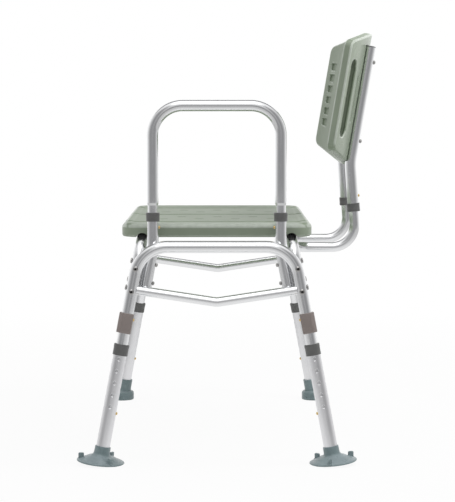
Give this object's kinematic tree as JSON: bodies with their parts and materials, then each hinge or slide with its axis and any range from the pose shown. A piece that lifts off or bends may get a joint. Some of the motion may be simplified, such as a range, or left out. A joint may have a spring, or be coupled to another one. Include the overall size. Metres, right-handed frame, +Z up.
{
  "type": "bariatric tub transfer bench",
  "caption": "wide plastic bench seat and backrest on splayed tubular aluminium legs, with an arm rail at one end, suction cups on that end's legs and rubber tips on the other's",
  "frame": {"origin": "on the floor, under the middle of the whole bench's extent", "axes": "+Z up. X runs along the bench, with the arm rail and the suction cups at the +X end. +Y is the rear, where the backrest stands, and -Y the front."},
  "size_m": [0.8828, 0.646, 0.9118],
  "materials": {
    "sage_plastic": "moulded sage green plastic, fine matt grain",
    "aluminium": "polished and anodised, bright",
    "dark_grey_plastic": "moulded, slightly glossy",
    "taupe_plastic": "moulded, matt",
    "blue_grey_rubber": "soft and matt",
    "brass": "plain brass",
    "zinc_steel": "zinc plated"
  },
  "bodies": {
    "frame": {"seat": "sage_plastic", "front_seat_rail": "aluminium", "rear_seat_rail": "aluminium", "near_end_frame": "aluminium", "far_end_frame": "aluminium", "near_v_brace": "aluminium", "far_v_brace": "aluminium", "near_back_saddle": "dark_grey_plastic", "far_back_saddle": "dark_grey_plastic", "back_support": "aluminium", "front_arm_receiver": "aluminium", "rear_arm_receiver": "aluminium", "front_arm_collar": "dark_grey_plastic", "rear_arm_collar": "dark_grey_plastic", "near_front_leg_clip": "taupe_plastic", "near_rear_leg_clip": "taupe_plastic", "leg_bolt_1": "zinc_steel", "leg_bolt_2": "zinc_steel", "leg_bolt_3": "zinc_steel", "leg_bolt_4": "zinc_steel", "leg_bolt_5": "zinc_steel", "leg_bolt_6": "zinc_steel", "leg_bolt_7": "zinc_steel", "leg_bolt_8": "zinc_steel", "receiver_bolt_1": "zinc_steel", "receiver_bolt_2": "zinc_steel", "receiver_bolt_3": "zinc_steel", "receiver_bolt_4": "zinc_steel", "saddle_screw_1": "dark_grey_plastic", "saddle_screw_2": "dark_grey_plastic"},
    "near_front_leg": {"near_front_leg_extension": "aluminium", "near_front_leg_collar": "dark_grey_plastic", "near_front_suction_cup": "blue_grey_rubber"},
    "near_rear_leg": {"near_rear_leg_extension": "aluminium", "near_rear_leg_collar": "dark_grey_plastic", "near_rear_suction_cup": "blue_grey_rubber"},
    "far_front_leg": {"far_front_leg_extension": "aluminium", "far_front_leg_collar": "dark_grey_plastic", "far_front_rubber_tip": "blue_grey_rubber"},
    "far_rear_leg": {"far_rear_leg_extension": "aluminium", "far_rear_leg_collar": "dark_grey_plastic", "far_rear_rubber_tip": "blue_grey_rubber"},
    "arm_rail": {"arm_rail": "aluminium"},
    "backrest": {"near_back_upright": "aluminium", "far_back_upright": "aluminium", "near_back_collar": "dark_grey_plastic", "far_back_collar": "dark_grey_plastic", "near_upright_plug": "dark_grey_plastic", "far_upright_plug": "dark_grey_plastic", "backrest_panel": "sage_plastic"},
    "near_front_leg_button": {"near_front_leg_button": "brass"},
    "near_rear_leg_button": {"near_rear_leg_button": "brass"},
    "far_front_leg_button": {"far_front_leg_button": "brass"},
    "far_rear_leg_button": {"far_rear_leg_button": "brass"},
    "near_front_clip_button": {"near_front_leg_clip_button": "brass"},
    "front_arm_button": {"front_arm_button": "brass"},
    "near_rear_clip_button": {"near_rear_leg_clip_button": "brass"},
    "rear_arm_button": {"rear_arm_button": "brass"},
    "near_back_button": {"near_back_button": "brass"},
    "far_back_button": {"far_back_button": "brass"}
  },
  "joints": [
    {"name": "near_front_leg_height", "type": "slide", "parent": "frame", "child": "near_front_leg", "axis": [0.0687, -0.1824, -0.9808], "range_m": [0, 0.1016]},
    {"name": "near_rear_leg_height", "type": "slide", "parent": "frame", "child": "near_rear_leg", "axis": [0.0687, 0.1824, -0.9808], "range_m": [0, 0.1016]},
    {"name": "far_front_leg_height", "type": "slide", "parent": "frame", "child": "far_front_leg", "axis": [-0.0687, -0.1824, -0.9808], "range_m": [0, 0.1016]},
    {"name": "far_rear_leg_height", "type": "slide", "parent": "frame", "child": "far_rear_leg", "axis": [-0.0687, 0.1824, -0.9808], "range_m": [0, 0.1016]},
    {"name": "arm_rail_lift", "type": "slide", "parent": "frame", "child": "arm_rail", "axis": [0, 0, 1], "range_m": [0, 0.08]},
    {"name": "backrest_lift", "type": "slide", "parent": "frame", "child": "backrest", "axis": [0, -0.0748, 0.9972], "range_m": [0, 0.08]},
    {"name": "near_front_leg_button_press", "type": "slide", "parent": "near_front_leg", "child": "near_front_leg_button", "axis": [-0.0127, -0.9832, 0.182], "range_m": [0, 0.003], "stiffness_N_per_m": 900},
    {"name": "near_rear_leg_button_press", "type": "slide", "parent": "near_rear_leg", "child": "near_rear_leg_button", "axis": [-0.0127, 0.9832, 0.182], "range_m": [0, 0.003], "stiffness_N_per_m": 900},
    {"name": "far_front_leg_button_press", "type": "slide", "parent": "far_front_leg", "child": "far_front_leg_button", "axis": [0.0127, -0.9832, 0.182], "range_m": [0, 0.003], "stiffness_N_per_m": 900},
    {"name": "far_rear_leg_button_press", "type": "slide", "parent": "far_rear_leg", "child": "far_rear_leg_button", "axis": [0.0127, 0.9832, 0.182], "range_m": [0, 0.003], "stiffness_N_per_m": 900},
    {"name": "near_front_clip_button_press", "type": "slide", "parent": "frame", "child": "near_front_clip_button", "axis": [-0.0127, -0.9832, 0.182], "range_m": [0, 0.003], "stiffness_N_per_m": 900},
    {"name": "front_arm_button_press", "type": "slide", "parent": "frame", "child": "front_arm_button", "axis": [0, -1, 0], "range_m": [0, 0.003], "stiffness_N_per_m": 900},
    {"name": "near_rear_clip_button_press", "type": "slide", "parent": "frame", "child": "near_rear_clip_button", "axis": [-0.0127, 0.9832, 0.182], "range_m": [0, 0.003], "stiffness_N_per_m": 900},
    {"name": "rear_arm_button_press", "type": "slide", "parent": "frame", "child": "rear_arm_button", "axis": [0, 1, 0], "range_m": [0, 0.003], "stiffness_N_per_m": 900},
    {"name": "near_back_button_press", "type": "slide", "parent": "backrest", "child": "near_back_button", "axis": [0, -0.9972, -0.0748], "range_m": [0, 0.003], "stiffness_N_per_m": 900},
    {"name": "far_back_button_press", "type": "slide", "parent": "backrest", "child": "far_back_button", "axis": [0, -0.9972, -0.0748], "range_m": [0, 0.003], "stiffness_N_per_m": 900}
  ]
}
